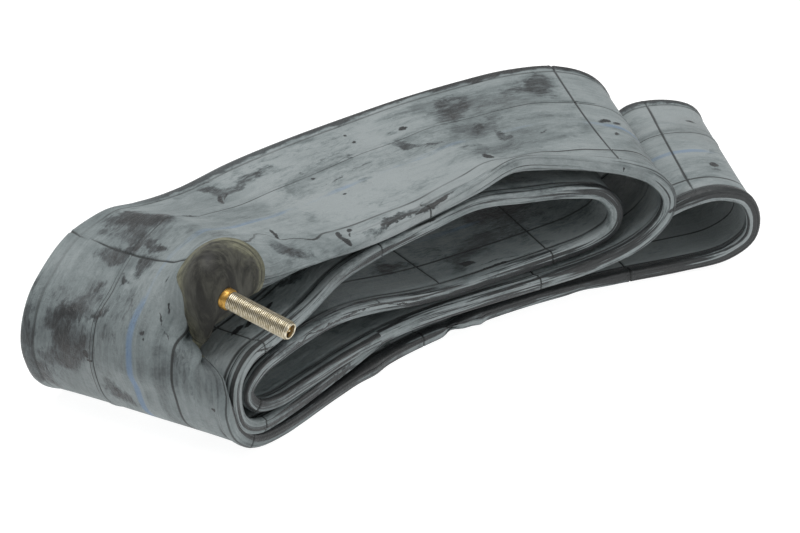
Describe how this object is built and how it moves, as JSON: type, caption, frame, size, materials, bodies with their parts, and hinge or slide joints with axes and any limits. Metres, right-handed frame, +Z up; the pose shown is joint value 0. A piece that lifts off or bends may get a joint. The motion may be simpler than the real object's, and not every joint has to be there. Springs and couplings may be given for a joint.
{
  "type": "bicycle inner tube",
  "caption": "Deflated butyl inner tube folded into a flat bundle, with a rubber valve patch, a threaded metal stem and a spring valve core.",
  "frame": {"origin": "middle of the folded bundle's box, on the surface it lies on", "axes": "+Z up; +X along the bundle's length, away from the valve end; the concave near edge and the valve face -Y"},
  "size_m": [0.3682, 0.1626, 0.0913],
  "materials": {
    "butyl": "matte, talc bloomed",
    "patch_rubber": "satin, buffed rim",
    "nickel_plate": "satin nickel plate",
    "brass": "machined",
    "pin_brass": "bright",
    "gasket": "smooth",
    "seal_rubber": "smooth",
    "spring_steel": "drawn wire"
  },
  "bodies": {
    "tube": {"inner_tube": "butyl", "valve_patch": "patch_rubber", "valve_stem": "nickel_plate"},
    "core": {"core_barrel": "brass", "barrel_gasket": "gasket", "core_spring": "spring_steel"},
    "plug": {"core_plug": "brass"},
    "pin": {"core_pin": "pin_brass", "poppet_cup": "brass", "poppet_seal": "seal_rubber"}
  },
  "joints": [
    {"name": "core_lift", "type": "slide", "parent": "tube", "child": "core", "axis": [0.3544, -0.9233, -0.1478], "range_m": [0, 0.0049]},
    {"name": "plug_turn", "type": "hinge", "parent": "core", "child": "plug", "pos_m": [-0.11803, -0.07539, 0.06601], "axis": [0.3544, -0.9233, -0.1478], "range_deg": [0, 2520]},
    {"name": "pin_press", "type": "slide", "parent": "core", "child": "pin", "axis": [-0.3544, 0.9233, 0.1478], "range_m": [0, 0.0011], "stiffness_N_per_m": 400, "springref_m": -0.002, "deforming": ["core_spring"]}
  ],
  "couplings": [
    {"joint": "plug_turn", "follows": "core_lift", "rad_per_m": 8904.7}
  ]
}
